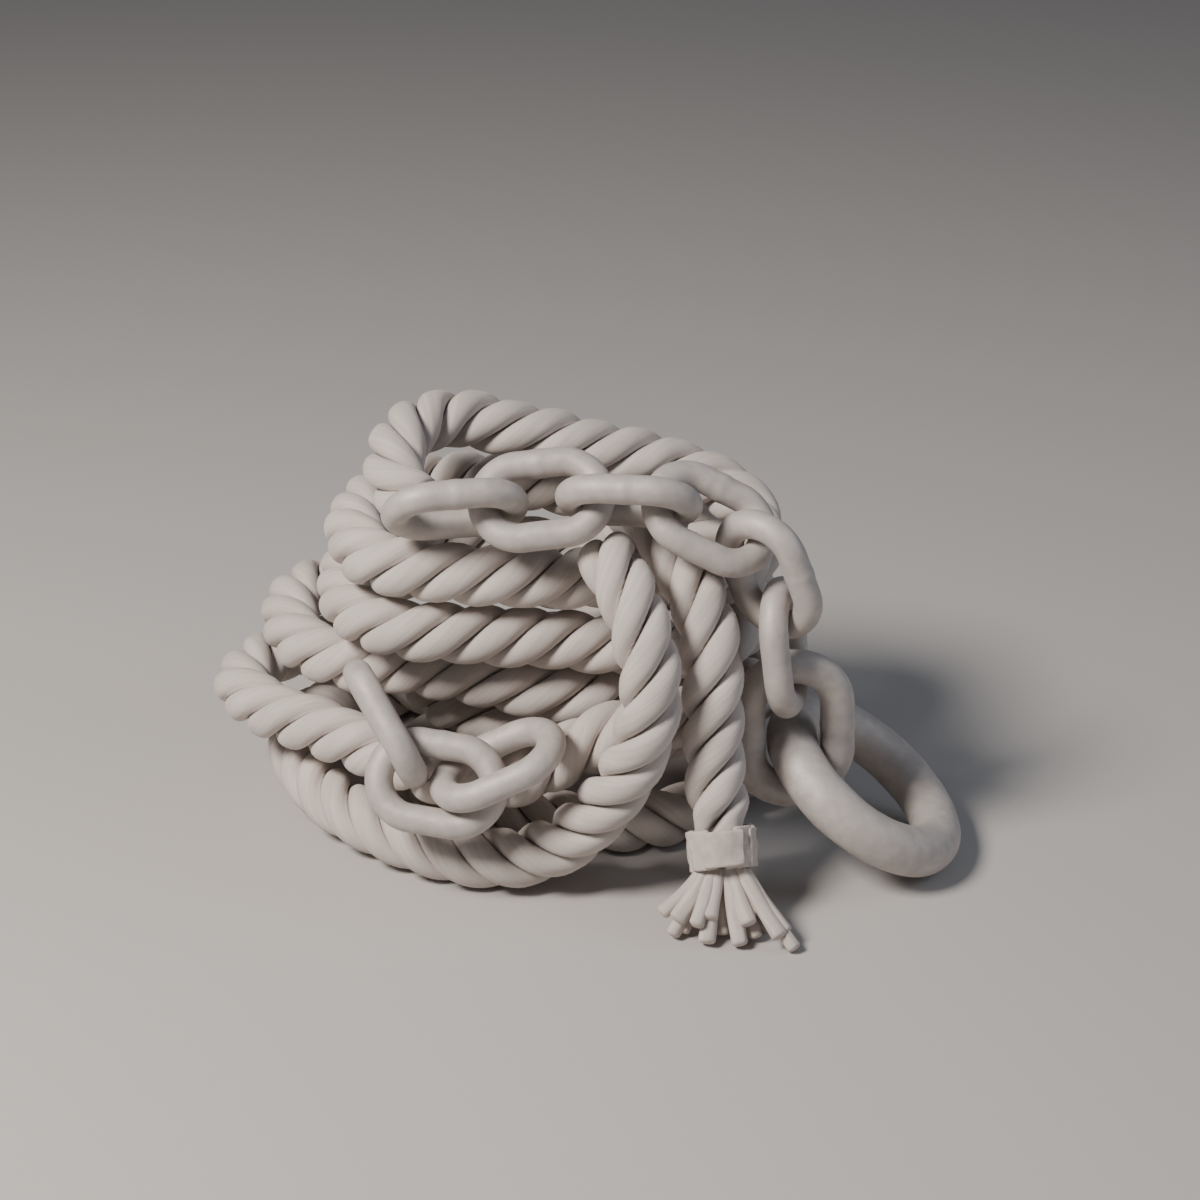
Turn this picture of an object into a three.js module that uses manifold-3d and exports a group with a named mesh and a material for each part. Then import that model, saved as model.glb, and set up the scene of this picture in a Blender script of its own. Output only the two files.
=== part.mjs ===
// Coiled frayed rope with a chain and ring.
// Millimetres, +Z up, X along the longest side, standing on z = 0.
//
// Two lengths of thick three-strand rope lie piled in a rough coil. The first is
// wound upwards in stacked turns. The second lies on the ground under it, sweeps
// round the front and up over the side, and its frayed end comes out of the
// middle of the coil and hangs down in front. A short-link chain lies over the
// top and ends in a heavy ring on the ground. Three more links lie in the front.
import * as THREE from 'three';
import { mergeVertices } from 'three/addons/utils/BufferGeometryUtils.js';
import Module from 'manifold-3d';

const wasm = await Module();
wasm.setup();

// ---------------------------------------------------------------- sizes
const ROPE_DIAMETER = 32;
const ROPE_SIDES = 10;
const ROPE_STEP = 20;

const BINDING_LENGTH = 23;
const BINDING_WALL = 2.5;
const GAP = 0.3;

const STRAND_DIAMETER = 7.5;
const STRAND_SIDES = 6;
const STRAND_STEPS = 4;

const CHAIN_WIRE = 14.5;
const CHAIN_LINK = { length: 58, width: 38, wire: CHAIN_WIRE };
const END_LINK = { length: 70, width: 45.5, wire: 17.5 };
const LINK_SIDES = 8;
const LINK_SEGMENTS = 22;

const RING_RADIUS = 46.5;
const RING_STOCK = 26;
const RING_SIDES = 12;
const RING_SEGMENTS = 36;

// Moves the heap so that the middle of its outline stands over the origin.
const HEAP_SHIFT = new THREE.Vector3(5.6, 20.4, 0);

// ---------------------------------------------------------------- materials
function finish(color, roughness, metalness) {
  return new THREE.MeshStandardMaterial({ color, roughness, metalness });
}

const ROPE_FIBRE = finish(0xcdc4be, 0.9, 0);
const BINDING_CLOTH = finish(0xc4bab2, 0.85, 0);
const DULL_METAL = finish(0xb9b2ae, 0.6, 0.4);

// ---------------------------------------------------------------- routes
// Points that pull the middle of each rope along. Each is [x, y, z].
const STACKED_ROUTE = [
  // starts inside the coil, runs forward and round the right side
  [-92, 34, 60], [-80, 4, 58], [-56, -16, 57], [-24, -30, 52], [14, -30, 46],
  [46, -12, 47], [64, 24, 48], [52, 66, 48], [6, 94, 48], [-55, 102, 49],
  // lowest turn that shows on the left, then up inside the front loop
  [-115, 94, 51], [-170, 72, 55], [-194, 32, 56], [-176, -6, 57], [-140, -28, 57],
  [-106, -50, 54], [-78, -68, 50], [-46, -76, 50], [-16, -78, 64], [10, -80, 84],
  [42, -68, 84], [74, -42, 74], [92, -2, 70], [86, 46, 73], [52, 86, 77],
  // second turn
  [0, 98, 82], [-60, 104, 84], [-120, 100, 89], [-160, 74, 92], [-164, 30, 91],
  [-148, -6, 90], [-120, -22, 91], [-86, -24, 91], [-48, -36, 88], [-14, -40, 82],
  [16, -34, 78], [42, -14, 82], [58, 22, 87], [46, 60, 98],
  // third turn
  [0, 76, 110], [-60, 82, 118], [-104, 68, 123], [-130, 30, 124], [-126, -18, 123],
  [-108, -46, 124], [-83, -54, 124], [-47, -50, 121], [-10, -44, 115],
  [24, -44, 111], [62, -32, 104], [88, 2, 104], [80, 50, 120], [36, 76, 139],
  // fourth turn
  [-10, 78, 149], [-60, 76, 154], [-98, 64, 157], [-122, 32, 157], [-122, -14, 157],
  [-108, -42, 157], [-86, -51, 157], [-58, -54, 156], [-28, -50, 152], [4, -37, 147],
  [34, -20, 137], [62, -17, 135], [84, -3, 141], [89, 22, 149], [76, 45, 161],
  // arch over the top, down to an end tucked under the chain
  [43, 55, 171], [-5, 50, 183], [-47, 50, 195], [-78, 46, 203], [-98, 18, 203],
  [-102, -14, 192], [-88, -28, 184],
];

const FRAYED_ROUTE = [
  // from the bound end up the front, over the rim and down into the coil
  [66, -123, 30], [64, -113, 47], [62, -105, 64], [61, -98, 82], [61, -92, 104],
  [60, -85, 126], [56, -72, 146], [46, -54, 160], [36, -32, 173], [28, -8, 173],
  [20, 16, 152], [12, 32, 122], [4, 42, 92], [-14, 50, 58], [-48, 52, 30],
  // one and a half turns flat on the ground
  [-86, 42, 15], [-102, 6, 15], [-86, -30, 15], [-46, -46, 15], [0, -56, 15],
  [42, -50, 15], [74, -22, 15], [84, 22, 15], [66, 66, 15], [20, 94, 15],
  [-40, 104, 15], [-100, 104, 15], [-146, 80, 18], [-164, 36, 21], [-154, -12, 21],
  [-126, -52, 20], [-86, -82, 17],
  // the front loop, up to an end under the chain
  [-50, -94, 15], [-16, -98, 24], [6, -106, 50], [20, -111, 76], [29, -113, 104],
  [30, -106, 132], [22, -90, 156], [12, -73, 168], [8, -63, 169],
];

// Tips of the loose strands at the frayed end: a lower layer spread on the ground
// and an upper layer lying over it.
const STRAND_TIPS = [
  [41, -143, 3], [50, -148, 3], [58, -151, 3], [74, -153, 3], [99, -156, 4], [88, -139, 4],
  [37, -140, 11], [45, -149, 12], [54, -154, 12], [62, -147, 14], [79, -151, 12], [92, -157, 11],
];

// Each link: its middle, the way it is long and the way it is wide.
const TOP_CHAIN = [
  { centre: [-65.5, -63, 195], along: [1, 0.14, 0.03], across: [0.08, -0.7, 0.71] },
  { centre: [-23.5, -60, 199], along: [1, 0.03, 0.11], across: [-0.09, 0.71, 0.7] },
  { centre: [19, -63.4, 199.6], along: [1, -0.15, 0.01], across: [-0.12, -0.76, 0.64] },
  { centre: [58.6, -60.6, 189], along: [0.89, -0.02, -0.46], across: [0.29, 0.79, 0.53] },
  { centre: [87.7, -67, 162], along: [0.34, 0.02, -0.94], across: [0.74, -0.62, 0.25] },
  { centre: [96.6, -66.4, 122], along: [0.12, -0.08, -0.99], across: [0.27, 0.96, -0.05] },
];
const END_LINK_PLACE = {
  centre: [102.2, -66.5, 76.6],
  along: [0.04, 0.01, -1],
  across: [0.99, 0.11, 0.04],
};
const LOOSE_LINKS = [
  { centre: [-101.1, -85.6, 89.1], along: [0.5, -0.54, -0.68], across: [0.01, 0.79, -0.62] },
  { centre: [-75.5, -104.2, 65.9], along: [0.98, -0.17, -0.09], across: [0.16, 0.48, 0.87] },
  { centre: [-45.4, -102.5, 75.5], along: [0.91, 0.09, 0.4], across: [-0.12, 0.99, 0.06] },
];
const RING_PLACE = { centre: [140.3, -56.7, 39.5], normal: [0.574, -0.078, 0.815] };

// ---------------------------------------------------------------- helpers
// A smooth curve that follows its points as an even cubic B-spline and starts
// and ends on the first and last of them.
class RouteCurve extends THREE.Curve {
  constructor(points) {
    super();
    const inner = points.map((point) => new THREE.Vector3(...point));
    const before = inner[0].clone().multiplyScalar(2).sub(inner[1]);
    const after = inner.at(-1).clone().multiplyScalar(2).sub(inner.at(-2));
    this.points = [before, ...inner, after];
    this.arcLengthDivisions = 2000;
  }

  getPoint(t, target = new THREE.Vector3()) {
    const spans = this.points.length - 3;
    const place = Math.min(t * spans, spans - 1e-9);
    const span = Math.floor(place);
    const u = place - span;
    const weights = [
      (1 - u) ** 3,
      3 * u ** 3 - 6 * u ** 2 + 4,
      -3 * u ** 3 + 3 * u ** 2 + 3 * u + 1,
      u ** 3,
    ];
    target.set(0, 0, 0);
    weights.forEach((weight, k) => target.addScaledVector(this.points[span + k], weight / 6));
    return target;
  }
}

// The first part of another curve, up to a share of its length.
class CurveStart extends THREE.Curve {
  constructor(curve, share) {
    super();
    this.curve = curve;
    this.share = share;
  }

  getPoint(t, target = new THREE.Vector3()) {
    return target.copy(this.curve.getPointAt(t * this.share));
  }
}

function polygon(radius, sides) {
  const corners = [];
  for (let k = 0; k < sides; k += 1) {
    const angle = (2 * Math.PI * k) / sides;
    corners.push(new THREE.Vector2(radius * Math.cos(angle), radius * Math.sin(angle)));
  }
  return corners;
}

function sweep(curve, radius, sides, steps, boreRadius = 0) {
  const section = new THREE.Shape(polygon(radius, sides));
  if (boreRadius > 0) {
    section.holes.push(new THREE.Path(polygon(boreRadius, sides)));
  }
  return new THREE.ExtrudeGeometry(section, { extrudePath: curve, steps, bevelEnabled: false });
}

function toSolid(geometry) {
  const bare = geometry.clone();
  bare.deleteAttribute('normal');
  bare.deleteAttribute('uv');
  const merged = mergeVertices(bare, 1e-4);
  return new wasm.Manifold(new wasm.Mesh({
    numProp: 3,
    vertProperties: Float32Array.from(merged.attributes.position.array),
    triVerts: Uint32Array.from(merged.index.array),
  }));
}

function toGeometry(solid) {
  const mesh = solid.getMesh();
  const geometry = new THREE.BufferGeometry();
  geometry.setAttribute('position', new THREE.BufferAttribute(Float32Array.from(mesh.vertProperties), 3));
  geometry.setIndex(new THREE.BufferAttribute(Uint32Array.from(mesh.triVerts), 1));
  geometry.computeVertexNormals();
  return geometry;
}

// Everything below z = 0, cut off where a piece presses on the ground.
const groundBlock = new THREE.BoxGeometry(600, 600, 60);
groundBlock.translate(0, 0, -30);
const GROUND = toSolid(groundBlock);

function flattenedOnGround(geometry) {
  return toGeometry(toSolid(geometry).subtract(GROUND));
}

function piece(name, geometry, material) {
  const mesh = new THREE.Mesh(geometry, material);
  mesh.name = name;
  return mesh;
}

// ---------------------------------------------------------------- pieces
function rope(name, route, restsOnGround) {
  const curve = new RouteCurve(route);
  const steps = Math.round(curve.getLength() / ROPE_STEP);
  const tube = sweep(curve, ROPE_DIAMETER / 2, ROPE_SIDES, steps);
  return piece(name, restsOnGround ? flattenedOnGround(tube) : tube, ROPE_FIBRE);
}

function endBinding() {
  const curve = new RouteCurve(FRAYED_ROUTE);
  const band = new CurveStart(curve, BINDING_LENGTH / curve.getLength());
  const bore = (ROPE_DIAMETER / 2 + GAP) / Math.cos(Math.PI / ROPE_SIDES);
  return piece('end_binding', sweep(band, bore + BINDING_WALL, ROPE_SIDES, 2, bore), BINDING_CLOTH);
}

// One comb: the strands leave a short stub on the rope's cut end and splay out.
function frayedStrands() {
  const end = new THREE.Vector3(...FRAYED_ROUTE[0]);
  const outwards = end.clone().sub(new THREE.Vector3(...FRAYED_ROUTE[1])).normalize();
  const root = end.clone().addScaledVector(outwards, GAP);
  const stub = new THREE.LineCurve3(root, root.clone().addScaledVector(outwards, 5.5));
  let comb = toSolid(sweep(stub, ROPE_DIAMETER * 0.4, ROPE_SIDES, 1));
  for (const tip of STRAND_TIPS) {
    const foot = new THREE.Vector3(...tip);
    const sideways = foot.clone().sub(root);
    sideways.addScaledVector(outwards, -sideways.dot(outwards));
    sideways.multiplyScalar(0.3).clampLength(0, ROPE_DIAMETER * 0.27);
    const start = root.clone().addScaledVector(outwards, 3.7).add(sideways);
    const middle = start.clone().lerp(foot, 0.4).addScaledVector(outwards, 2);
    const strand = new THREE.QuadraticBezierCurve3(start, middle, foot);
    comb = comb.add(toSolid(sweep(strand, STRAND_DIAMETER / 2, STRAND_SIDES, STRAND_STEPS)));
  }
  return piece('frayed_strands', toGeometry(comb.subtract(GROUND)), ROPE_FIBRE);
}

// A link is a wire ring drawn out lengthways.
function link(name, shape, place) {
  const radius = shape.width / 2;
  const geometry = new THREE.TorusGeometry(radius, shape.wire / 2, LINK_SIDES, LINK_SEGMENTS);
  const position = geometry.attributes.position;
  const halfStraight = shape.length / 2 - radius;
  for (let k = 0; k < position.count; k += 1) {
    position.setX(k, position.getX(k) + Math.sign(position.getX(k)) * halfStraight);
  }
  const along = new THREE.Vector3(...place.along).normalize();
  const normal = along.clone().cross(new THREE.Vector3(...place.across)).normalize();
  const across = normal.clone().cross(along);
  const mesh = piece(name, geometry, DULL_METAL);
  mesh.quaternion.setFromRotationMatrix(new THREE.Matrix4().makeBasis(along, across, normal));
  mesh.position.set(...place.centre);
  return mesh;
}

function ring() {
  const geometry = new THREE.TorusGeometry(RING_RADIUS, RING_STOCK / 2, RING_SIDES, RING_SEGMENTS);
  const normal = new THREE.Vector3(...RING_PLACE.normal).normalize();
  const turn = new THREE.Quaternion().setFromUnitVectors(new THREE.Vector3(0, 0, 1), normal);
  geometry.applyQuaternion(turn);
  geometry.translate(...RING_PLACE.centre);
  return piece('ring', flattenedOnGround(geometry), DULL_METAL);
}

// ---------------------------------------------------------------- assembly
const heap = new THREE.Group();
heap.position.copy(HEAP_SHIFT);
heap.add(rope('stacked_rope', STACKED_ROUTE, false));
heap.add(rope('frayed_rope', FRAYED_ROUTE, true));
heap.add(endBinding());
heap.add(frayedStrands());
TOP_CHAIN.forEach((place, k) => heap.add(link(`chain_link_${k + 1}`, CHAIN_LINK, place)));
heap.add(link('end_link', END_LINK, END_LINK_PLACE));
LOOSE_LINKS.forEach((place, k) => heap.add(link(`loose_link_${k + 1}`, CHAIN_LINK, place)));
heap.add(ring());

const part = new THREE.Group();
part.add(heap);

export default part;
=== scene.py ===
# %% [markdown]
# # A coiled frayed rope with a chain and a ring
# This lesson dresses a heap of heavy rope. Two lengths of three-strand rope lie piled
# in rough turns, one frayed end hangs down in front, and a short-link chain lies over
# the top and runs down to a heavy ring on the ground. The solid shapes come from the
# CAD model, so every piece here is made to sit exactly where its solid does.

# %% Load the fixed frame
import math
import bpy
import numpy as np
from mathutils import Matrix, Vector, noise


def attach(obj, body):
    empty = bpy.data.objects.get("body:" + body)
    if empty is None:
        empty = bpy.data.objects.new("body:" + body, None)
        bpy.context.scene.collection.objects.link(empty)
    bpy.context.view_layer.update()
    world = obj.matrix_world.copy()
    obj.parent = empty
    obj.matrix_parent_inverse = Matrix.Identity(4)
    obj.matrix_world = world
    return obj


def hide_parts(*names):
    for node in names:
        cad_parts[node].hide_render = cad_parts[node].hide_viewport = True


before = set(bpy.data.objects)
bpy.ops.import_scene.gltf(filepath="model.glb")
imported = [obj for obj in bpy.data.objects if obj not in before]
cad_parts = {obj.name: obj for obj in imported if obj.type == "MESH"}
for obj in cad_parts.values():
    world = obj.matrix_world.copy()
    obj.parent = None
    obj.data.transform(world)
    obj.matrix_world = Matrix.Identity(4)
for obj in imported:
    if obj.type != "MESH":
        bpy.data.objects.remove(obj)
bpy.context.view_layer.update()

print("solids:", sorted(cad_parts))

# %% [markdown]
# ## Camera and measures
# The heap is looked at from the front and a little above, with a long lens from
# 1.4 m away, so that the turns keep their true proportions. The camera could be
# aimed with a constraint, but a plain place and tilt is easier to read and to move.
# All lengths in the route lists are millimetres, and HEAP_SHIFT moves the whole heap
# so that its middle stands over the origin, as in the CAD model.

# %% Camera
MM = 0.001
HEAP_SHIFT = np.array([0.0056, 0.0204, 0.0])
CAMERA_DISTANCE = 1.4
CAMERA_HEIGHT_ANGLE = math.radians(25)

aim = Vector((0.0106, 0.0204, 0.117))
back = Vector((0, -math.cos(CAMERA_HEIGHT_ANGLE), math.sin(CAMERA_HEIGHT_ANGLE)))
bpy.ops.object.camera_add(location=aim + back * CAMERA_DISTANCE,
                          rotation=(math.radians(90) - CAMERA_HEIGHT_ANGLE, 0, 0))
camera = bpy.context.object
camera.name = "camera"
camera.data.sensor_width = 36
camera.data.lens = 80.8
bpy.context.scene.camera = camera
print("camera at", [round(v, 3) for v in camera.location])

# %% [markdown]
# ## The route of a rope
# A real rope cannot kink, so its middle line is a smooth curve. An even cubic
# B-spline is pulled along by its points without wiggling between them, which a
# curve that passes through every point would do. The line is then cut into even
# steps, because the twist of the strands has to advance evenly along it.

# %% Smooth route and its frames
def even_route(points, step):
    """Points about `step` apart on the B-spline, in metres, and the whole length."""
    inner = np.array(points, float) * MM + HEAP_SHIFT
    pull = np.vstack([2 * inner[0] - inner[1], inner, 2 * inner[-1] - inner[-2]])
    u = np.linspace(0, 1, 40, endpoint=False)[:, None]
    spans = [((1 - u) ** 3 * a + (3 * u ** 3 - 6 * u ** 2 + 4) * b
              + (-3 * u ** 3 + 3 * u ** 2 + 3 * u + 1) * c + u ** 3 * d) / 6
             for a, b, c, d in zip(pull, pull[1:], pull[2:], pull[3:])]
    fine = np.vstack(spans + [inner[-1:]])
    run = np.concatenate([[0], np.cumsum(np.linalg.norm(np.diff(fine, axis=0), axis=1))])
    even = np.linspace(0, run[-1], round(run[-1] / step) + 1)
    line = np.stack([np.interp(even, run, fine[:, k]) for k in range(3)], axis=1)
    return line, run[-1]


def carried_frames(line):
    """Ahead, side and up directions that travel along a line without spinning."""
    ahead = np.gradient(line, axis=0)
    ahead /= np.linalg.norm(ahead, axis=1)[:, None]
    sides = []
    side = np.array([0.3, 0.2, 1.0])
    for direction in ahead:
        side = side - direction * side.dot(direction)
        side /= np.linalg.norm(side)
        sides.append(side)
    side = np.array(sides)
    return ahead, side, np.cross(ahead, side)


def roughness_at(points, size, seed):
    """Smooth unevenness from -1 to 1 that changes over about `size` metres."""
    shift = Vector((seed * 3.7, seed * 1.9, seed * 5.3))
    return np.array([noise.noise(Vector(p) / size + shift) for p in points])


def mesh_piece(name, points, faces):
    """A new object from points and faces, smooth all over."""
    mesh = bpy.data.meshes.new(name)
    mesh.from_pydata([tuple(p) for p in points], [], faces)
    mesh.update()
    mesh.polygons.foreach_set("use_smooth", [True] * len(mesh.polygons))
    piece = bpy.data.objects.new(name, mesh)
    bpy.context.scene.collection.objects.link(piece)
    return piece


def ring_faces(rings, sides):
    """Quads between rings of points, numbered ring by ring, facing outwards."""
    return [(i * sides + j, i * sides + (j + 1) % sides,
             (i + 1) * sides + (j + 1) % sides, (i + 1) * sides + j)
            for i in range(rings - 1) for j in range(sides)]

# %% [markdown]
# ## What a laid rope looks like
# Three fat strands are twisted round each other. Where they press together they
# flatten, and on the outside they bulge. They could be three separate tubes, but
# those would cut into each other in every tight bend. One skin whose section is the
# outline of three pressed strands, turned a little more at each step, has the same
# look with clean grooves. The stack is laid left-handed and the frayed rope
# right-handed, so they are two lengths of rope.

# %% Rope skin
LAY_LENGTH = 0.066
ROPE_SIDES = 48
ROPE_STEP = 0.0027
STRAND_OFFSET = 0.0086
STRAND_HALF_DEPTH = 0.0074
STRAND_HALF_WIDTH = 0.0096
SWELL_SPACING = 0.031
DENT_SIZE = 0.011
DENT_SHARE = 0.035
SQUEEZED_TO = 0.020
LOOSE_FROM = 0.032


def strand_outline(angle):
    """Distance of the three-strand outline from the middle, at each angle."""
    local = (angle + math.pi / 3) % (2 * math.pi / 3) - math.pi / 3
    x, y = np.cos(local) / STRAND_HALF_DEPTH, np.sin(local) / STRAND_HALF_WIDTH
    lead = STRAND_OFFSET / STRAND_HALF_DEPTH
    a, b, c = x * x + y * y, -2 * x * lead, lead * lead - 1
    return (-b + np.sqrt(np.maximum(b * b - 4 * a * c, 0))) / (2 * a)


def laid_rope(name, route, hand, seed, squeeze=0.0):
    """One length of rope. hand is 1 for a right-hand lay and -1 for a left-hand lay.
    squeeze is how much of its width a tight binding takes at the start of the route."""
    line, length = even_route(route, ROPE_STEP)
    ahead, side, up = carried_frames(line)
    along = np.linspace(0, length, len(line))[:, None]
    angle = np.linspace(0, 2 * math.pi, ROPE_SIDES, endpoint=False)[None, :]
    strand = np.floor((angle + math.pi / 3) / (2 * math.pi / 3)) % 3
    swell = 0.975 + 0.025 * np.sin(along / SWELL_SPACING + strand * 2.4 + seed)
    grip = np.clip((LOOSE_FROM - along) / (LOOSE_FROM - SQUEEZED_TO), 0, 1)
    radius = strand_outline(angle) * swell * (1 - squeeze * grip * grip * (3 - 2 * grip))
    turn = angle + hand * 2 * math.pi * along / LAY_LENGTH
    skin = (line[:, None, :] + radius[..., None] * (np.cos(turn)[..., None] * side[:, None, :]
            + np.sin(turn)[..., None] * up[:, None, :]))
    outward = skin - line[:, None, :]
    dents = roughness_at(skin.reshape(-1, 3), DENT_SIZE, seed).reshape(radius.shape)
    skin = skin + outward * (DENT_SHARE * np.minimum(dents, 0.2))[..., None]
    skin[..., 2] = np.maximum(skin[..., 2], 0)
    points = list(skin.reshape(-1, 3))
    faces = ring_faces(len(line), ROPE_SIDES)
    straight = list(np.stack([radius * np.cos(angle), radius * np.sin(angle),
                              np.broadcast_to(along, radius.shape)], axis=2).reshape(-1, 3))
    for ring, outwards in ((0, -1), (len(line) - 1, 1)):
        close_end(points, faces, straight, skin[ring], line[ring], ahead[ring] * outwards, ring)
    piece = mesh_piece(name, points, faces)
    laid = piece.data.attributes.new("laid", "FLOAT_VECTOR", "POINT")
    laid.data.foreach_set("vector", np.array(straight).ravel())
    print(name, f"{length:.3f} m long,", len(piece.data.polygons), "faces")
    return piece, line, length


def close_end(points, faces, straight, rim, middle, outwards, ring):
    """A slightly domed cut end, in rings that shrink to one point."""
    first = ring * ROPE_SIDES
    previous = list(range(first, first + ROPE_SIDES))
    for share, rise in ((0.9, 0.0012), (0.6, 0.002), (0.25, 0.0024)):
        fresh = list(range(len(points), len(points) + ROPE_SIDES))
        points.extend(middle + (rim - middle) * share + outwards * rise)
        straight.extend(straight[k] for k in previous)
        faces.extend(end_quad(previous, fresh, j, ring) for j in range(ROPE_SIDES))
        previous = fresh
    tip = len(points)
    points.append(middle + outwards * 0.0025)
    straight.append(straight[first])
    for j in range(ROPE_SIDES):
        a, b = previous[j], previous[(j + 1) % ROPE_SIDES]
        faces.append((b, a, tip) if ring == 0 else (a, b, tip))


def end_quad(outer, inner, j, ring):
    """One face of an end cap, turned to face out of that end."""
    k = (j + 1) % ROPE_SIDES
    quad = (outer[j], outer[k], inner[k], inner[j])
    return quad[::-1] if ring == 0 else quad

# %% [markdown]
# ## The stacked rope
# This length is wound upwards: it starts inside the heap, makes the low turn on the
# left, runs inside the front loop, and then climbs in three more turns to the arch on
# top. Both cut ends are tucked out of sight. Its line is the solid's line, so the
# turns rest on each other as they do in the CAD model.

# %% Stacked rope
STACKED_ROUTE = [
    (-92, 34, 60), (-80, 4, 58), (-56, -16, 57), (-24, -30, 52), (14, -30, 46),
    (46, -12, 47), (64, 24, 48), (52, 66, 48), (6, 94, 48), (-55, 102, 49),
    (-115, 94, 51), (-170, 72, 55), (-194, 32, 56), (-176, -6, 57), (-140, -28, 57),
    (-106, -50, 54), (-78, -68, 50), (-46, -76, 50), (-16, -78, 64), (10, -80, 84),
    (42, -68, 84), (74, -42, 74), (92, -2, 70), (86, 46, 73), (52, 86, 77),
    (0, 98, 82), (-60, 104, 84), (-120, 100, 89), (-160, 74, 92), (-164, 30, 91),
    (-148, -6, 90), (-120, -22, 91), (-86, -24, 91), (-48, -36, 88), (-14, -40, 82),
    (16, -34, 78), (42, -14, 82), (58, 22, 87), (46, 60, 98),
    (0, 76, 110), (-60, 82, 118), (-104, 68, 123), (-130, 30, 124), (-126, -18, 123),
    (-108, -46, 124), (-83, -54, 124), (-47, -50, 121), (-10, -44, 115),
    (24, -44, 111), (62, -32, 104), (88, 2, 104), (80, 50, 120), (36, 76, 139),
    (-10, 78, 149), (-60, 76, 154), (-98, 64, 157), (-122, 32, 157), (-122, -14, 157),
    (-108, -42, 157), (-86, -51, 157), (-58, -54, 156), (-28, -50, 152), (4, -37, 147),
    (34, -20, 137), (62, -17, 135), (84, -3, 141), (89, 22, 149), (76, 45, 161),
    (43, 55, 171), (-5, 50, 183), (-47, 50, 195), (-78, 46, 203), (-98, 18, 203),
    (-102, -14, 192), (-88, -28, 184),
]

stacked_rope, stacked_line, stacked_length = laid_rope("rope_stacked", STACKED_ROUTE, -1, 1.0)
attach(stacked_rope, "root")
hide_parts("stacked_rope")

# %% [markdown]
# ## The frayed rope
# The second length starts at the frayed end in front, goes up over the front of the
# heap and down into its hollow, lies flat on the ground for a turn and a half, and
# comes up as the big front loop. Its underside is pressed flat on the ground, which
# is done by keeping every point at or above the ground.

# %% Frayed rope
FRAYED_ROUTE = [
    (66, -123, 30), (64, -113, 47), (62, -105, 64), (61, -98, 82), (61, -92, 104),
    (60, -85, 126), (56, -72, 146), (46, -54, 160), (36, -32, 173), (28, -8, 173),
    (20, 16, 152), (12, 32, 122), (4, 42, 92), (-14, 50, 58), (-48, 52, 30),
    (-86, 42, 15), (-102, 6, 15), (-86, -30, 15), (-46, -46, 15), (0, -56, 15),
    (42, -50, 15), (74, -22, 15), (84, 22, 15), (66, 66, 15), (20, 94, 15),
    (-40, 104, 15), (-100, 104, 15), (-146, 80, 18), (-164, 36, 21), (-154, -12, 21),
    (-126, -52, 20), (-86, -82, 17),
    (-50, -94, 15), (-16, -98, 24), (6, -106, 50), (20, -111, 76), (29, -113, 104),
    (30, -106, 132), (22, -90, 156), (12, -73, 168), (8, -63, 169),
]

BINDING_SQUEEZE = 0.18
frayed_rope, frayed_line, frayed_length = laid_rope(
    "rope_frayed", FRAYED_ROUTE, 1, 2.0, squeeze=BINDING_SQUEEZE)
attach(frayed_rope, "root")
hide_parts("frayed_rope")

# %% [markdown]
# ## The binding round the frayed end
# A strip of stiff cloth is wrapped round the rope's end and pulled tight. It squeezes
# the rope a little, and breaks into one broad fold in front with narrower folds
# tucked in beside it, like boards on a hull. One fold is modelled from a flat panel
# that is bent, thickened and bevelled. The others are made the same way, each with
# its own width, height and lift, because no two folds of a wrap are alike.

# %% Binding
BINDING_RADIUS = 0.0146
CLOTH_THICKNESS = 0.0030
EDGE_ROUNDING = 0.0012
PANEL_CUTS = 7
BINDING_FLARE = 0.9
CRUMPLE_SIZE = 0.006
CRUMPLE_DEPTH = 0.0012
BINDING_FOLDS = [
    # turn round the rope in degrees, width, lift off the rope, start and end (mm)
    # measured up from the rope's end, and how flat the fold is
    (88, 19, 1.1, -0.6, 17.0, 0.5), (45, 10, 0.2, -1.6, 18.6, 0.2),
    (132, 11, 0.3, -1.4, 18.2, 0.2), (17, 9, 0.7, -1.8, 17.4, 0.2),
    (160, 8, 0.0, -1.2, 18.4, 0.1), (348, 10, 0.2, -2.0, 18.6, 0.2),
    (184, 9, 0.6, -1.8, 14.6, 0.2), (318, 10, 0.6, -1.6, 19.6, 0.2),
    (212, 10, 0.1, -1.4, 19.0, 0.2), (290, 10, 0.1, -2.0, 18.8, 0.2),
    (240, 11, 0.5, -1.4, 20.0, 0.2), (265, 10, 0.3, -2.0, 19.4, 0.2),
]

end_point = Vector(frayed_line[0])
end_ahead = Vector(carried_frames(frayed_line)[0][0])
end_out = end_ahead * -1
front = Vector((0, -1, 0))
end_front = (front - end_ahead * front.dot(end_ahead)).normalized()
end_right = end_ahead.cross(end_front)
end_place = Matrix((
    (*end_right, 0), (*end_front, 0), (*end_out, 0), (0, 0, 0, 1))).transposed()
end_place.translation = end_point
print("rope end faces", [round(v, 2) for v in end_out])


def deselect_all():
    bpy.ops.object.select_all(action="DESELECT")


def apply_modifiers(piece):
    bpy.context.view_layer.objects.active = piece
    for modifier in list(piece.modifiers):
        bpy.ops.object.modifier_apply(modifier=modifier.name)


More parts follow.
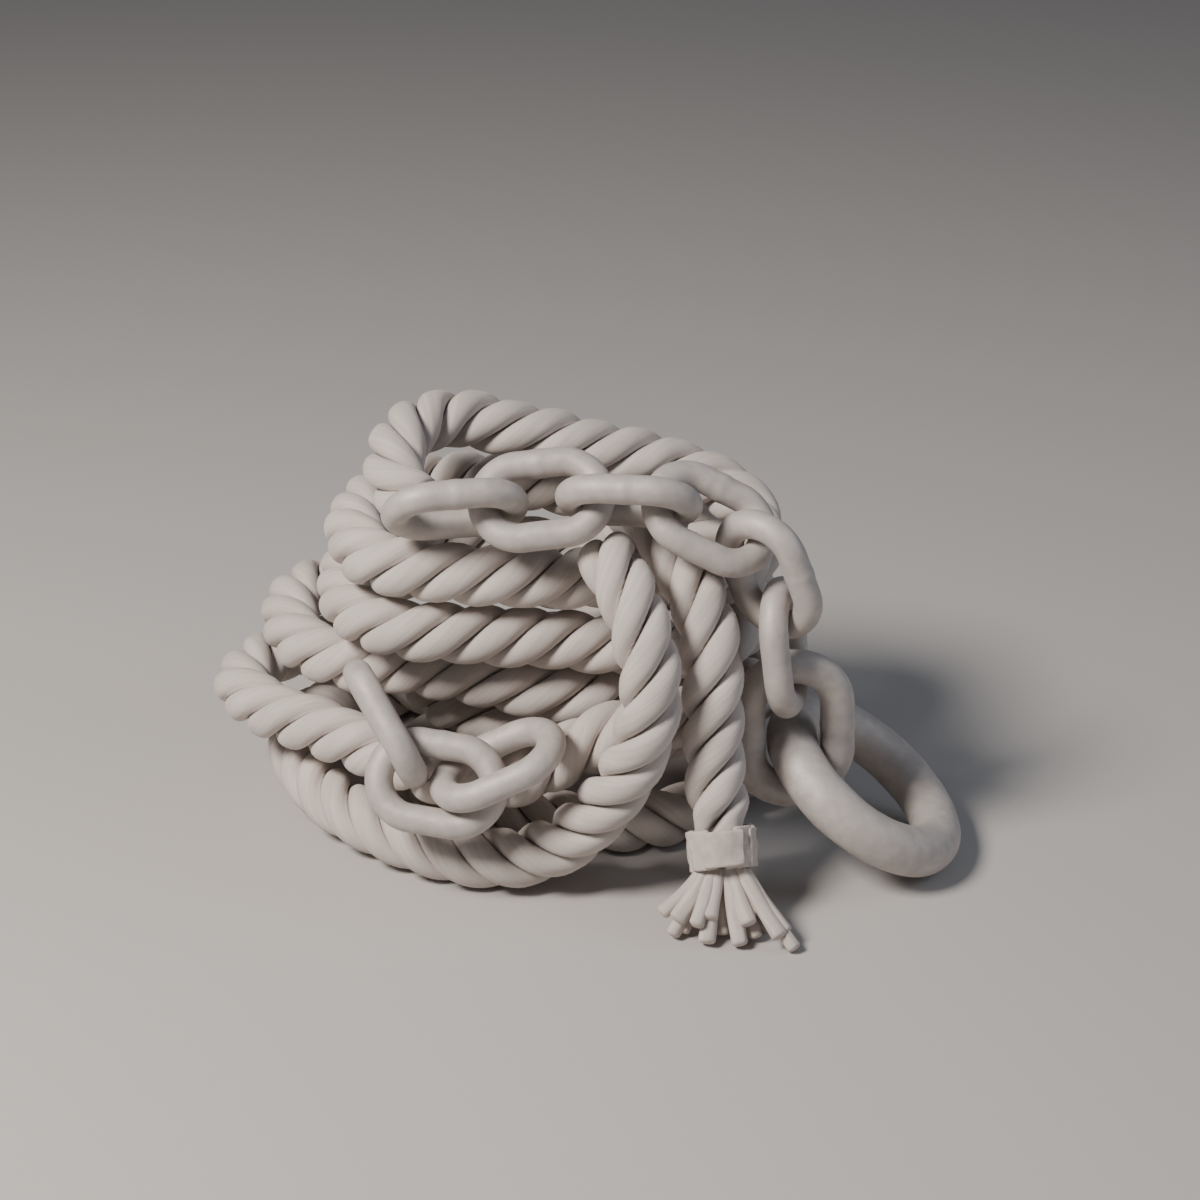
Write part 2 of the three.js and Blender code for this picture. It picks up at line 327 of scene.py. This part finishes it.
def binding_fold(turn, width, lift, start, end, flatness):
    """One fold of the binding, bent round the rope's end."""
    deselect_all()
    bpy.ops.mesh.primitive_plane_add(size=1)
    fold = bpy.context.object
    bpy.ops.object.mode_set(mode="EDIT")
    bpy.ops.mesh.subdivide(number_cuts=PANEL_CUTS)
    bpy.ops.object.mode_set(mode="OBJECT")
    for v in fold.data.vertices:
        across, down = v.co.x, v.co.y
        bend = across * width * MM / BINDING_RADIUS
        flat = (1 / math.cos(bend) - math.cos(bend)) / 2 * flatness
        flare = (0.5 - down) * BINDING_FLARE
        radius = BINDING_RADIUS * (1 + flat * 0.5) + (lift + flare) * MM
        angle = math.radians(turn) + bend
        height = -(start + (end - start) * (0.5 - down)) * MM
        v.co = (radius * math.cos(angle), radius * math.sin(angle), height)
    solidify = fold.modifiers.new("cloth", "SOLIDIFY")
    solidify.thickness = CLOTH_THICKNESS
    solidify.offset = 0
    bevel = fold.modifiers.new("soft edge", "BEVEL")
    bevel.width = EDGE_ROUNDING
    bevel.segments = 4
    apply_modifiers(fold)
    for v in fold.data.vertices:
        push = noise.noise(v.co / CRUMPLE_SIZE + Vector((turn, 0, 0))) * CRUMPLE_DEPTH
        v.co += Vector((v.co.x, v.co.y, 0)).normalized() * push
    return fold


folds = [binding_fold(*values) for values in BINDING_FOLDS]
deselect_all()
for fold in folds:
    fold.select_set(True)
bpy.context.view_layer.objects.active = folds[0]
bpy.ops.object.join()
binding = bpy.context.object
binding.name = "binding"
binding.data.transform(end_place)
binding.matrix_world = Matrix.Identity(4)
bpy.ops.object.mode_set(mode="EDIT")
bpy.ops.mesh.select_all(action="SELECT")
bpy.ops.mesh.normals_make_consistent(inside=False)
bpy.ops.object.mode_set(mode="OBJECT")
bpy.ops.object.shade_smooth_by_angle(angle=math.radians(40))
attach(binding, "root")
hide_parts("end_binding")
print("binding:", len(folds), "folds,", len(binding.data.polygons), "faces")

# %% [markdown]
# ## The frayed strands
# Below the binding the rope has come undone into thick loose yarns. They are stiff
# and blunt, some lie on the ground and the rest splay out over them in pairs. Each
# is a short tapered tube along a bent line, with a soft furrow along it. Hair would
# look too fine, because these yarns are as thick as a pencil, so they are modelled
# one by one and joined into one comb.

# %% Frayed strands
YARN_SIDES = 16
YARN_RINGS = 26
YARN_LENGTH = 0.04
ROOT_SPREAD = 0.0088
YARNS = [
    # tip x, y, z and half width (mm); the first eight lie on top of the other eight
    (36, -138, 13, 3.5), (43, -144, 13, 4.1), (52, -149, 13, 3.8), (58.5, -146, 15, 3.9),
    (77, -148, 13, 3.9), (80, -142, 15, 3.2), (92, -153, 9, 4.0), (95, -149, 9, 3.6),
    (41, -143, 3.8, 3.6), (46, -140, 3.8, 3.4), (57, -150, 4.0, 3.9), (73, -152, 4.0, 3.9),
    (99, -155, 3.4, 3.4), (88, -137, 3.6, 3.5), (65, -142, 3.8, 3.5), (81, -145, 3.8, 3.5),
]


def yarn(tip, half_width, seed):
    """Points and faces of one blunt yarn from the rope's end to its tip."""
    tip = Vector(tip) * MM + Vector(HEAP_SHIFT)
    spread = tip - end_point
    spread -= end_out * spread.dot(end_out)
    spread *= 0.3
    if spread.length > ROOT_SPREAD:
        spread.length = ROOT_SPREAD
    root = end_point + spread - end_out * 0.001
    bend = root.lerp(tip, 0.4) + end_out * 0.003
    share = np.linspace(0, 1, YARN_RINGS)[:, None]
    line = ((1 - share) ** 2 * np.array(root) + 2 * share * (1 - share) * np.array(bend)
            + share ** 2 * np.array(tip))
    ahead, side, up = carried_frames(line)
    angle = np.linspace(0, 2 * math.pi, YARN_SIDES, endpoint=False)
    rings = []
    for k, s in enumerate(share[:, 0]):
        width = half_width * MM * (0.86 + 0.2 * s)
        furrow = 1 - 0.16 * np.maximum(0, np.cos(2 * angle + seed)) ** 6
        wobble = 1 + 0.05 * math.sin(7 * s + seed * 2)
        rings.append(line[k] + (width * wobble * furrow)[:, None]
                     * (np.cos(angle)[:, None] * side[k] + np.sin(angle)[:, None] * up[k]))
    for shrink, reach in ((0.93, 0.0006), (0.75, 0.0012), (0.4, 0.0016)):
        centre = line[-1] + ahead[-1] * reach
        rings.append(centre + (rings[YARN_RINGS - 1] - line[-1]) * shrink)
    rings = np.array(rings)
    rings[..., 2] = np.maximum(rings[..., 2], 0)
    points = list(rings.reshape(-1, 3))
    faces = ring_faces(len(rings), YARN_SIDES)
    last = (len(rings) - 1) * YARN_SIDES
    faces.append(tuple(range(last, last + YARN_SIDES)))
    faces.append(tuple(reversed(range(YARN_SIDES))))
    size = half_width * MM
    straight = [(size * math.cos(a), size * math.sin(a), YARN_LENGTH * k / YARN_RINGS + seed)
                for k in range(len(rings)) for a in angle]
    return points, faces, straight


comb_points, comb_faces, comb_straight = [], [], []
for seed, (x, y, z, half_width) in enumerate(YARNS):
    points, faces, straight = yarn((x, y, z), half_width, float(seed))
    first = len(comb_points)
    comb_points.extend(points)
    comb_faces.extend(tuple(first + k for k in face) for face in faces)
    comb_straight.extend(straight)
fray = mesh_piece("frayed_yarns", comb_points, comb_faces)
fray_laid = fray.data.attributes.new("laid", "FLOAT_VECTOR", "POINT")
fray_laid.data.foreach_set("vector", np.array(comb_straight, float).ravel())
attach(fray, "root")
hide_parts("frayed_strands")
print("frayed yarns:", len(YARNS), "yarns,", len(fray.data.polygons), "faces")

# %% [markdown]
# ## Length of rope
# The frayed rope carries its binding and its yarns at one end. The two lengths of
# rope are added up and the total is printed.

print(f"rope in all: {stacked_length + frayed_length:.2f} m")

# %% [markdown]
# ## The chain
# A chain link is a piece of round bar bent into a long loop and welded shut on one
# side. A torus is the natural start. Its two halves are moved apart, the straight
# bars between them are cut into short lengths, and the weld is raised a little.
# The link is modelled once and copied, and each copy gets its own faint hammer marks.

# %% Links
LINK = {"length": 58, "width": 38, "wire": 14.5}
END_LINK = {"length": 70, "width": 45.5, "wire": 17.5}
BAR_CUTS = 7
WELD_HALF_LENGTH = 0.0045
WELD_RISE = 0.045


def bar_link(name, shape):
    """A link lying flat on the origin, long along X."""
    radius = shape["width"] / 2 * MM
    half_straight = shape["length"] / 2 * MM - radius
    deselect_all()
    bpy.ops.mesh.primitive_torus_add(major_segments=66, minor_segments=28,
                                     major_radius=radius, minor_radius=shape["wire"] / 2 * MM)
    link = bpy.context.object
    link.name = name
    for direction in (1, -1):
        bpy.ops.object.mode_set(mode="OBJECT")
        for v in link.data.vertices:
            v.select = v.co.x * direction > 0
        for part in (*link.data.edges, *link.data.polygons):
            part.select = all(link.data.vertices[k].select for k in part.vertices)
        bpy.ops.object.mode_set(mode="EDIT")
        bpy.ops.transform.translate(value=(half_straight * direction, 0, 0))
    for step in range(1 - BAR_CUTS, BAR_CUTS):
        bpy.ops.mesh.select_all(action="SELECT")
        bpy.ops.mesh.bisect(plane_co=(half_straight * step / BAR_CUTS, 0, 0), plane_no=(1, 0, 0))
    bpy.ops.object.mode_set(mode="OBJECT")
    for v in link.data.vertices:
        if v.co.y > 0 and abs(v.co.x) < WELD_HALF_LENGTH:
            raised = 1 + WELD_RISE * math.cos(v.co.x / WELD_HALF_LENGTH * math.pi / 2) ** 2
            v.co.y = radius + (v.co.y - radius) * raised
            v.co.z *= raised
    return link


def place_link(pattern, name, node, centre, along, across, seed):
    """A copy of the pattern link, put in its place and slightly uneven."""
    link = pattern.copy()
    link.data = pattern.data.copy()
    link.name = name
    bpy.context.scene.collection.objects.link(link)
    x = Vector(along).normalized()
    z = x.cross(Vector(across)).normalized()
    y = z.cross(x)
    turn = Matrix((x, y, z)).transposed().to_4x4()
    dent_mesh(link.data, 0.013, 0.00022, seed)
    link.data.transform(Matrix.Translation(Vector(centre) * MM + Vector(HEAP_SHIFT)) @ turn)
    link.matrix_world = Matrix.Identity(4)
    link.data.polygons.foreach_set("use_smooth", [True] * len(link.data.polygons))
    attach(link, "root")
    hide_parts(node)
    return link


def dent_mesh(mesh, size, depth, seed):
    """Moves each point a little in or out, in soft patches."""
    shift = Vector((seed * 2.3, seed * 4.1, seed * 1.7))
    normals = [v.normal.copy() for v in mesh.vertices]
    for v, normal in zip(mesh.vertices, normals):
        v.co += normal * (noise.noise(v.co / size + shift) - 0.3) * depth


TOP_CHAIN = [
    ((-65.5, -63, 195), (1, 0.14, 0.03), (0.08, -0.7, 0.71)),
    ((-23.5, -60, 199), (1, 0.03, 0.11), (-0.09, 0.71, 0.7)),
    ((19, -63.4, 199.6), (1, -0.15, 0.01), (-0.12, -0.76, 0.64)),
    ((58.6, -60.6, 189), (0.89, -0.02, -0.46), (0.29, 0.79, 0.53)),
    ((87.7, -67, 162), (0.34, 0.02, -0.94), (0.74, -0.62, 0.25)),
    ((96.6, -66.4, 122), (0.12, -0.08, -0.99), (0.27, 0.96, -0.05)),
]
LOOSE_LINKS = [
    ((-101.1, -85.6, 89.1), (0.5, -0.54, -0.68), (0.01, 0.79, -0.62)),
    ((-75.5, -104.2, 65.9), (0.98, -0.17, -0.09), (0.16, 0.48, 0.87)),
    ((-45.4, -102.5, 75.5), (0.91, 0.09, 0.4), (-0.12, 0.99, 0.06)),
]

link_pattern = bar_link("link_pattern", LINK)
end_link_pattern = bar_link("end_link_pattern", END_LINK)
links = []
for number, (centre, along, across) in enumerate(TOP_CHAIN, 1):
    links.append(place_link(link_pattern, f"chain_{number}", f"chain_link_{number}",
                            centre, along, across, number))
for number, (centre, along, across) in enumerate(LOOSE_LINKS, 1):
    links.append(place_link(link_pattern, f"loose_chain_{number}", f"loose_link_{number}",
                            centre, along, across, number + 10))
links.append(place_link(end_link_pattern, "chain_end", "end_link",
                        (102.2, -66.5, 76.6), (0.04, 0.01, -1), (0.99, 0.11, 0.04), 20))
bpy.data.objects.remove(link_pattern)
bpy.data.objects.remove(end_link_pattern)
print("links:", len(links), "of", len(links[0].data.polygons), "faces")

# %% [markdown]
# ## The ring
# The ring is a thick forged hoop that leans on the ground by its outer edge. It is
# a torus with a fine mesh, tilted in edit mode about its own middle, and then
# pressed flat where it meets the ground.

# %% Ring
RING_CENTRE = Vector((140.3, -56.7, 39.5)) * MM + Vector(HEAP_SHIFT)
RING_LEAN = Vector((0.574, -0.078, 0.815)).normalized()
RING_RADIUS = 0.0465
RING_STOCK_RADIUS = 0.013

deselect_all()
bpy.ops.mesh.primitive_torus_add(major_segments=144, minor_segments=48,
                                 major_radius=RING_RADIUS, minor_radius=RING_STOCK_RADIUS)
ring = bpy.context.object
ring.name = "ring_forged"
dent_mesh(ring.data, 0.024, 0.0006, 3)
dent_mesh(ring.data, 0.0045, 0.00012, 5)
lean = Vector((0, 0, 1)).rotation_difference(RING_LEAN).to_matrix().to_4x4()
ring.data.transform(Matrix.Translation(RING_CENTRE) @ lean)
for v in ring.data.vertices:
    v.co.z = max(v.co.z, 0)
ring.data.polygons.foreach_set("use_smooth", [True] * len(ring.data.polygons))
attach(ring, "root")
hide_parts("ring")
print("ring:", len(ring.data.polygons), "faces")

# %% [markdown]
# ## Rope finish
# Weathered plant fibre is matt and pale warm grey, with faint streaks along each
# strand where the yarns run, and painted shade darkening the grooves. The streaks
# follow the rope because the pattern reads the "laid" attribute: where each point
# would be if its rope were straight and untwisted. Object coordinates would make
# the streaks run the same way in the whole heap.

# %% Rope material
def new_material(name):
    material = bpy.data.materials.new(name)
    material.use_nodes = True
    nodes = material.node_tree.nodes
    return material, nodes, material.node_tree.links, nodes["Principled BSDF"]


def ramp(nodes, low, high, low_colour, high_colour):
    node = nodes.new("ShaderNodeValToRGB")
    node.color_ramp.elements[0].position = low
    node.color_ramp.elements[1].position = high
    node.color_ramp.elements[0].color = (*low_colour, 1)
    node.color_ramp.elements[1].color = (*high_colour, 1)
    return node


def noise_pattern(nodes, wires, vector, scale, detail):
    """A cloudy pattern laid over the given coordinates."""
    pattern = nodes.new("ShaderNodeTexNoise")
    pattern.inputs["Scale"].default_value = scale
    pattern.inputs["Detail"].default_value = detail
    wires.new(vector, pattern.inputs["Vector"])
    return pattern


def streak_pattern(nodes, wires, scale):
    """Noise drawn out along the straightened rope, and the node that reads it."""
    laid = nodes.new("ShaderNodeAttribute")
    laid.attribute_name = "laid"
    stretch = nodes.new("ShaderNodeMapping")
    stretch.inputs["Scale"].default_value = scale
    wires.new(laid.outputs["Vector"], stretch.inputs["Vector"])
    return laid, noise_pattern(nodes, wires, stretch.outputs["Vector"], 1, 3)


def raised_by(nodes, wires, height, strength, distance):
    """A bump node that lifts the surface where the height is large."""
    bump = nodes.new("ShaderNodeBump")
    bump.inputs["Strength"].default_value = strength
    bump.inputs["Distance"].default_value = distance
    wires.new(height, bump.inputs["Height"])
    return bump


def mixed_colour(nodes, blend, factor):
    """A colour mix node with a fixed share."""
    mix = nodes.new("ShaderNodeMix")
    mix.data_type = "RGBA"
    mix.blend_type = blend
    mix.inputs["Factor"].default_value = factor
    return mix


def fibre_material(name, pale, dark, groove_shade_colour):
    """Streaked fibre, with painted shade darkening the grooves between the strands."""
    material, nodes, wires, shader = new_material(name)
    shader.inputs["Roughness"].default_value = 0.88
    shader.inputs["Sheen Weight"].default_value = 0.12
    shader.inputs["Sheen Roughness"].default_value = 0.5
    shader.inputs["Specular IOR Level"].default_value = 0.3
    laid, streaks = streak_pattern(nodes, wires, (420, 420, 40))
    tint = ramp(nodes, 0.3, 0.7, dark, pale)
    wires.new(streaks.outputs["Fac"], tint.inputs["Fac"])
    place = nodes.new("ShaderNodeTexCoord")
    patches = noise_pattern(nodes, wires, place.outputs["Object"], 38, 2)
    worn = ramp(nodes, 0.35, 0.7, (0.86, 0.86, 0.86), (1, 1, 1))
    wires.new(patches.outputs["Fac"], worn.inputs["Fac"])
    weather = mixed_colour(nodes, "MULTIPLY", 1)
    wires.new(tint.outputs["Color"], weather.inputs["A"])
    wires.new(worn.outputs["Color"], weather.inputs["B"])
    across = nodes.new("ShaderNodeVectorMath")
    across.operation = "MULTIPLY"
    across.inputs[1].default_value = (1, 1, 0)
    depth = nodes.new("ShaderNodeVectorMath")
    depth.operation = "LENGTH"
    wires.new(laid.outputs["Vector"], across.inputs[0])
    wires.new(across.outputs["Vector"], depth.inputs[0])
    # Painted shade: the grooves between the strands are darkened in the base colour.
    groove = nodes.new("ShaderNodeMapRange")
    groove.inputs["From Min"].default_value = 0.0092
    groove.inputs["From Max"].default_value = 0.0112
    wires.new(depth.outputs["Value"], groove.inputs["Value"])
    painted_groove_shade = mixed_colour(nodes, "MIX", 0)
    painted_groove_shade.inputs["A"].default_value = (*groove_shade_colour, 1)
    wires.new(groove.outputs["Result"], painted_groove_shade.inputs["Factor"])
    wires.new(weather.outputs["Result"], painted_groove_shade.inputs["B"])
    wires.new(painted_groove_shade.outputs["Result"], shader.inputs["Base Color"])
    bump = raised_by(nodes, wires, streaks.outputs["Fac"], 0.22, 0.0005)
    wires.new(bump.outputs["Normal"], shader.inputs["Normal"])
    return material


FIBRE_PALE = (0.64, 0.575, 0.53)
FIBRE_DARK = (0.55, 0.49, 0.45)
# Nearly black colour painted into the rope grooves as shade.
GROOVE_PAINTED_SHADE = (0.11, 0.09, 0.08)

rope_fibre = fibre_material("rope_fibre", FIBRE_PALE, FIBRE_DARK, GROOVE_PAINTED_SHADE)
stacked_rope.data.materials.append(rope_fibre)
frayed_rope.data.materials.append(rope_fibre)
print("rope material on", stacked_rope.name, "and", frayed_rope.name)

# %% [markdown]
# ## Yarn and cloth finish
# The loose yarns are the same fibre, but they have no grooves and no painted
# groove shade. The binding is a stiff cloth: a fine weave of two crossed sets of
# threads, which two wave patterns at right angles give, with a little soft staining.

# %% Yarn and cloth materials
def plain_fibre_material(name, pale, dark, scale):
    """Streaked fibre without grooves."""
    material, nodes, wires, shader = new_material(name)
    shader.inputs["Roughness"].default_value = 0.88
    shader.inputs["Specular IOR Level"].default_value = 0.3
    streaks = streak_pattern(nodes, wires, scale)[1]
    tint = ramp(nodes, 0.3, 0.7, dark, pale)
    wires.new(streaks.outputs["Fac"], tint.inputs["Fac"])
    wires.new(tint.outputs["Color"], shader.inputs["Base Color"])
    bump = raised_by(nodes, wires, streaks.outputs["Fac"], 0.5, 0.0005)
    wires.new(bump.outputs["Normal"], shader.inputs["Normal"])
    return material


def cloth_material(name, pale, dark):
    """A stained cloth with two crossed sets of threads."""
    material, nodes, wires, shader = new_material(name)
    shader.inputs["Roughness"].default_value = 0.9
    shader.inputs["Specular IOR Level"].default_value = 0.25
    place = nodes.new("ShaderNodeTexCoord")
    stains = noise_pattern(nodes, wires, place.outputs["Object"], 190, 4)
    tint = ramp(nodes, 0.3, 0.75, dark, pale)
    wires.new(stains.outputs["Fac"], tint.inputs["Fac"])
    wires.new(tint.outputs["Color"], shader.inputs["Base Color"])
    weave = nodes.new("ShaderNodeMath")
    weave.operation = "ADD"
    for slot_number, direction in enumerate(("X", "Z")):
        threads = nodes.new("ShaderNodeTexWave")
        threads.bands_direction = direction
        threads.inputs["Scale"].default_value = 260
        threads.inputs["Distortion"].default_value = 0.6
        wires.new(place.outputs["Object"], threads.inputs["Vector"])
        wires.new(threads.outputs["Fac"], weave.inputs[slot_number])
    bump = raised_by(nodes, wires, weave.outputs["Value"], 0.25, 0.0002)
    wires.new(bump.outputs["Normal"], shader.inputs["Normal"])
    return material


YARN_PALE = (0.62, 0.555, 0.51)
YARN_DARK = (0.48, 0.42, 0.38)
CLOTH_PALE = (0.60, 0.535, 0.49)
CLOTH_DARK = (0.47, 0.41, 0.37)

fray.data.materials.append(
    plain_fibre_material("loose_yarn", YARN_PALE, YARN_DARK, (420, 420, 60)))
binding.data.materials.clear()
binding.data.materials.append(cloth_material("binding_cloth", CLOTH_PALE, CLOTH_DARK))
print("materials on", fray.name, "and", binding.name)

# %% [markdown]
# ## Metal finish
# The chain and the ring are old galvanised steel: dull, pale and a little uneven
# from hammering and weather, with no mirror shine. Two sizes of noise drive the
# bump, a coarse one for the hammer marks and a fine one for the grain of the zinc.

# %% Metal material
def dull_metal(name, pale, dark):
    material, nodes, wires, shader = new_material(name)
    shader.inputs["Metallic"].default_value = 0.25
    place = nodes.new("ShaderNodeTexCoord")
    marks = noise_pattern(nodes, wires, place.outputs["Object"], 150, 2)
    grain = noise_pattern(nodes, wires, place.outputs["Object"], 900, 3)
    tint = ramp(nodes, 0.3, 0.7, dark, pale)
    wires.new(marks.outputs["Fac"], tint.inputs["Fac"])
    wires.new(tint.outputs["Color"], shader.inputs["Base Color"])
    dullness = nodes.new("ShaderNodeMapRange")
    dullness.inputs["To Min"].default_value = 0.5
    dullness.inputs["To Max"].default_value = 0.72
    wires.new(grain.outputs["Fac"], dullness.inputs["Value"])
    wires.new(dullness.outputs["Result"], shader.inputs["Roughness"])
    coarse = raised_by(nodes, wires, marks.outputs["Fac"], 0.35, 0.0008)
    fine = raised_by(nodes, wires, grain.outputs["Fac"], 0.2, 0.0002)
    wires.new(coarse.outputs["Normal"], fine.inputs["Normal"])
    wires.new(fine.outputs["Normal"], shader.inputs["Normal"])
    return material


METAL_PALE = (0.56, 0.51, 0.475)
METAL_DARK = (0.47, 0.425, 0.40)

chain_metal = dull_metal("dull_metal", METAL_PALE, METAL_DARK)
for piece in (*links, ring):
    piece.data.materials.clear()
    piece.data.materials.append(chain_metal)
print("metal on", len(links) + 1, "pieces")

# %% [markdown]
# ## Floor and light
# A wide pale floor and two soft round lamps show the shape without hard shadows.
# The warm main lamp stands above on the left, so that the lobes of the rope have a
# light side and a dark side. A weaker, cooler lamp fills from the right.

# %% Studio
FLOOR_SIZE = 60

deselect_all()
bpy.ops.mesh.primitive_plane_add(size=FLOOR_SIZE, location=(0, 0, 0))
floor = bpy.context.object
floor.name = "floor"
floor_paint, floor_nodes, floor_wires, floor_shader = new_material("floor_paint")
floor_shader.inputs["Base Color"].default_value = (0.50, 0.475, 0.455, 1)
floor_shader.inputs["Roughness"].default_value = 0.9
floor.data.materials.append(floor_paint)


def soft_lamp(name, place, aim_at, size, power, colour):
    bpy.ops.object.light_add(type="AREA", location=place)
    lamp = bpy.context.object
    lamp.name = name
    lamp.data.shape = "DISK"
    lamp.data.size = size
    lamp.data.energy = power
    lamp.data.color = colour
    lamp.rotation_euler = (Vector(aim_at) - Vector(place)).to_track_quat("-Z", "Y").to_euler()
    return lamp


soft_lamp("main_lamp", (-0.95, -0.75, 1.35), (0, 0, 0.08), 0.55, 44, (1.0, 0.94, 0.88))
soft_lamp("fill_lamp", (1.4, -0.2, 0.9), (0, 0, 0.1), 0.9, 5, (0.78, 0.87, 1.0))

world = bpy.data.worlds.new("studio")
bpy.context.scene.world = world
world.use_nodes = True
world.node_tree.nodes["Background"].inputs["Color"].default_value = (0.74, 0.80, 0.92, 1)
world.node_tree.nodes["Background"].inputs["Strength"].default_value = 0.13
print("lamps and floor are in place")
